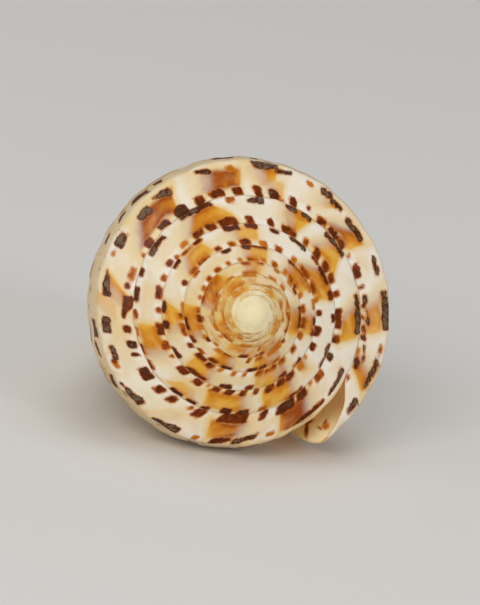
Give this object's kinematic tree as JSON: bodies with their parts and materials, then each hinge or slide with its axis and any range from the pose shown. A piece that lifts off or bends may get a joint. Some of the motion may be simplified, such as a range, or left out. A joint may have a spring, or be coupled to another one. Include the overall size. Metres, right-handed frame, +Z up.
{
  "type": "cone shell",
  "caption": "Spotted cone shell with a pointed low spire, lying on its side with its long narrow opening down.",
  "frame": {"origin": "bottom centre of the shell's bounding box, on the surface that the shell lies on", "axes": "+Z up; the shell's length runs along +Y, with the spire facing -Y and the narrow front end at +Y; +X to the right for someone who looks at the spire"},
  "size_m": [0.04, 0.0618, 0.0373],
  "materials": {
    "shell": "glossy cream shell with orange blotches and rows of dark brown spots"
  },
  "bodies": {
    "root": {"shell": "shell"}
  },
  "joints": []
}
